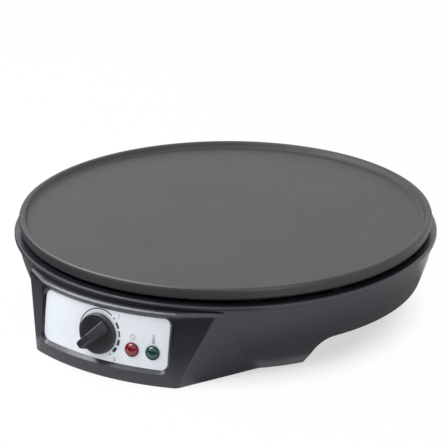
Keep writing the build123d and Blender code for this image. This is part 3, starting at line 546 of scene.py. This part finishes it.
# %% [markdown]
# ## Ink
# The scale is printed in a dark grey ink that isn't perfectly even, and a second, paler ink carries
# the small figures and signs. Ink is only a few hundredths of a millimetre thick, yet it is given
# that thickness here, so that every mark is a closed solid.

# %% Mix the inks
def ink(name, dark, light, smoothest):
    f = Finish(name, Specular_IOR_Level=0.4)
    f.colour(f.mix(f.noise(900), shade(dark), shade(light)))
    f.gloss(f.ramp(f.noise(1500, detail=2), low=smoothest, high=smoothest + 0.12))
    f.bump(f.noise(4000, detail=2), depth=6 * MICRON, strength=0.4)
    return f.material


scale_ink = ink("scale_ink", dark=(30, 30, 33), light=(52, 52, 56), smoothest=0.40)
sign_ink = ink("sign_ink", dark=(112, 116, 122), light=(134, 138, 144), smoothest=0.45)
print("inks:", scale_ink.name, "and", sign_ink.name)

# %% [markdown]
# ## Strokes, bars and dots
# Every printed mark is made of strokes, bars and dots. A curved stroke is an edge as long as the
# stroke is wide, spun round a centre. A bar is a grid of two faces, squeezed to its size, and a dot is
# a small filled circle. All are flat faces, and one extrusion gives them their ink thickness.

# %% Flat strokes, bars and dots
DEGREES_A_STEP = 3        # a curved stroke has one straight step to so many degrees


def stroke(bm, x, y, radius, width, start, stop):
    """Arc drawn clockwise round (x, y), with clock angles in degrees from twelve."""
    a = radians(90 - start)
    inner, outer = radius - width / 2, radius + width / 2
    ends = [bm.verts.new((x + r * cos(a), y + r * sin(a), 0)) for r in (inner, outer)]
    edge = bm.edges.new(ends)
    steps = max(3, int(abs(stop - start) / DEGREES_A_STEP))
    bmesh.ops.spin(bm, geom=ends + [edge], cent=(x, y, 0), axis=(0, 0, -1),
                   angle=radians(stop - start), steps=steps)


def bar(bm, x, low, high, width):
    """Upright bar at x, from one height to another."""
    verts = bmesh.ops.create_grid(bm, x_segments=1, y_segments=2, size=1.0)["verts"]
    bmesh.ops.scale(bm, verts=verts, vec=(width / 2, (high - low) / 2, 1))
    bmesh.ops.translate(bm, verts=verts, vec=(x, (low + high) / 2, 0))


def dot(bm, x, y, radius):
    place = Matrix.Translation((x, y, 0))
    bmesh.ops.create_circle(bm, cap_ends=True, segments=20, radius=radius, matrix=place)


print("a full ring has", 360 // DEGREES_A_STEP, "steps")

# %% From a flat drawing to a printed piece
INK_FOOT, INK_TOP = -0.02, 0.045      # ink starts just under the panel's face and stands this far proud, mm


def thicken(bm):
    """Turns flat faces at height 0 into a closed film of ink."""
    bmesh.ops.translate(bm, verts=bm.verts[:], vec=(0, 0, INK_FOOT))
    grown = bmesh.ops.extrude_face_region(bm, geom=bm.faces[:])
    top = [g for g in grown["geom"] if isinstance(g, bmesh.types.BMVert)]
    bmesh.ops.translate(bm, verts=top, vec=(0, 0, INK_TOP - INK_FOOT))


def print_piece(name, bm, x, y, material, body):
    """Gives a flat drawing its ink, lays it on the panel and lets it ride on a body."""
    thicken(bm)
    lay_on_panel(bm, x, y)
    bmesh.ops.remove_doubles(bm, verts=bm.verts[:], dist=1e-7)
    bmesh.ops.recalc_face_normals(bm, faces=bm.faces[:])
    mesh = bpy.data.meshes.new(name)
    bm.to_mesh(mesh)
    bm.free()
    mesh.materials.append(material)
    piece = bpy.data.objects.new(name, mesh)
    bpy.context.scene.collection.objects.link(piece)
    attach(piece, body)
    print(name, len(mesh.polygons), "faces")


print("ink thickness:", round(INK_TOP - INK_FOOT, 3), "mm")

# %% [markdown]
# ## The heat scale
# The scale runs clockwise round the knob: a fine ring over the top, then a dot, four marks that are
# bolder towards full heat, and a last dot.

# %% Print the scale
SCALE_R = 17.4            # radius of the ring and the dots
RING_WIDTH, RING_FROM, RING_TO = 0.75, -104, 34
MARK_IN = 0.4             # the marks lie this much inside the ring's line
MARK_HALF = 7.5           # half the angle that a mark covers, in degrees
MARKS = ((61, 1.5), (82, 1.1), (104, 1.8), (126, 2.1))     # clock angle and width
DOT_CLOCKS, DOT_R = (43, 144), 0.62

scale = bmesh.new()
stroke(scale, 0, 0, SCALE_R, RING_WIDTH, RING_FROM, RING_TO)
for clock, width in MARKS:
    stroke(scale, 0, 0, SCALE_R - MARK_IN, width, clock - MARK_HALF, clock + MARK_HALF)
for clock in DOT_CLOCKS:
    dot(scale, SCALE_R * sin(radians(clock)), SCALE_R * cos(radians(clock)), DOT_R)
print_piece("printed_scale", scale, 0, 0, scale_ink, "base")

# %% [markdown]
# ## Figures
# A plain 1 marks the low end of the scale and a plain 5 the high end. The figures come from Blender's
# own font: text is made a mesh while it is still flat, because only a mesh can be bent onto the panel.

# %% Print the figures
FIGURE_SIZE = 4.4
FIGURES = (("1", 15.6, 14.6), ("5", 13.6, -17.2))          # figure and its place from the knob's centre


def figure(text):
    """Flat outline of a figure, filled, about the drawing's origin."""
    curve = bpy.data.curves.new("figure", "FONT")
    curve.body, curve.size, curve.align_x, curve.align_y = text, FIGURE_SIZE, "CENTER", "CENTER"
    holder = bpy.data.objects.new("figure", curve)
    bpy.context.scene.collection.objects.link(holder)
    flat = holder.evaluated_get(bpy.context.evaluated_depsgraph_get())
    mesh = bpy.data.meshes.new_from_object(flat)
    bpy.data.objects.remove(holder)
    bm = bmesh.new()
    bm.from_mesh(mesh)
    bmesh.ops.remove_doubles(bm, verts=bm.verts[:], dist=1e-5)
    return bm


for text, x, y in FIGURES:
    print_piece("printed_" + text, figure(text), x, y, sign_ink, "base")

# %% [markdown]
# ## Signs
# Over the red lamp is the common power sign, a broken ring with a bar in its opening. Over the green
# one is a thermometer, drawn as an outline: a bulb and a round top joined by two sides, with a dot
# and a short column inside for the liquid.

# %% Print the power sign and the thermometer
LAMP_AZIMUTHS = (9.05, 14.2)                          # of the red and the green lamp, in degrees
RED_LAMP, GREEN_LAMP = (radians(az) * panel_radius(KNOB_Z) / MM for az in LAMP_AZIMUTHS)
POWER_UP, THERMOMETER_UP = 2.2, 2.8                   # height of each sign over the knob's centre
THERMOMETER_ACROSS = 0.3                              # how far it stands to the right of its lamp


def power_sign():
    ring_r, line = 1.75, 0.42
    opening = 30                                      # degrees to each side of the top
    bm = bmesh.new()
    stroke(bm, 0, 0, ring_r, line, opening, 360 - opening)
    bar(bm, 0, low=0.2, high=2.5, width=0.44)
    return bm


def thermometer_sign():
    line = 0.34                                       # width of the outline
    bulb_y, bulb_r, opening = -2.3, 1.15, 32          # the bulb opens upwards into the tube
    side_x, side_low, top_y = 0.62, -1.30, 2.6
    bm = bmesh.new()
    stroke(bm, 0, bulb_y, bulb_r, line, opening, 360 - opening)
    stroke(bm, 0, top_y, side_x, line, -90, 90)
    dot(bm, 0, bulb_y, side_x)
    for x in (-side_x, side_x):
        bar(bm, x, low=side_low, high=top_y, width=line)
    bar(bm, 0, low=-1.75, high=1.0, width=0.4)        # the column of liquid
    return bm


print_piece("power_sign", power_sign(), RED_LAMP, POWER_UP, sign_ink, "base")
print_piece("thermometer_sign", thermometer_sign(), GREEN_LAMP + THERMOMETER_ACROSS, THERMOMETER_UP,
            sign_ink, "base")
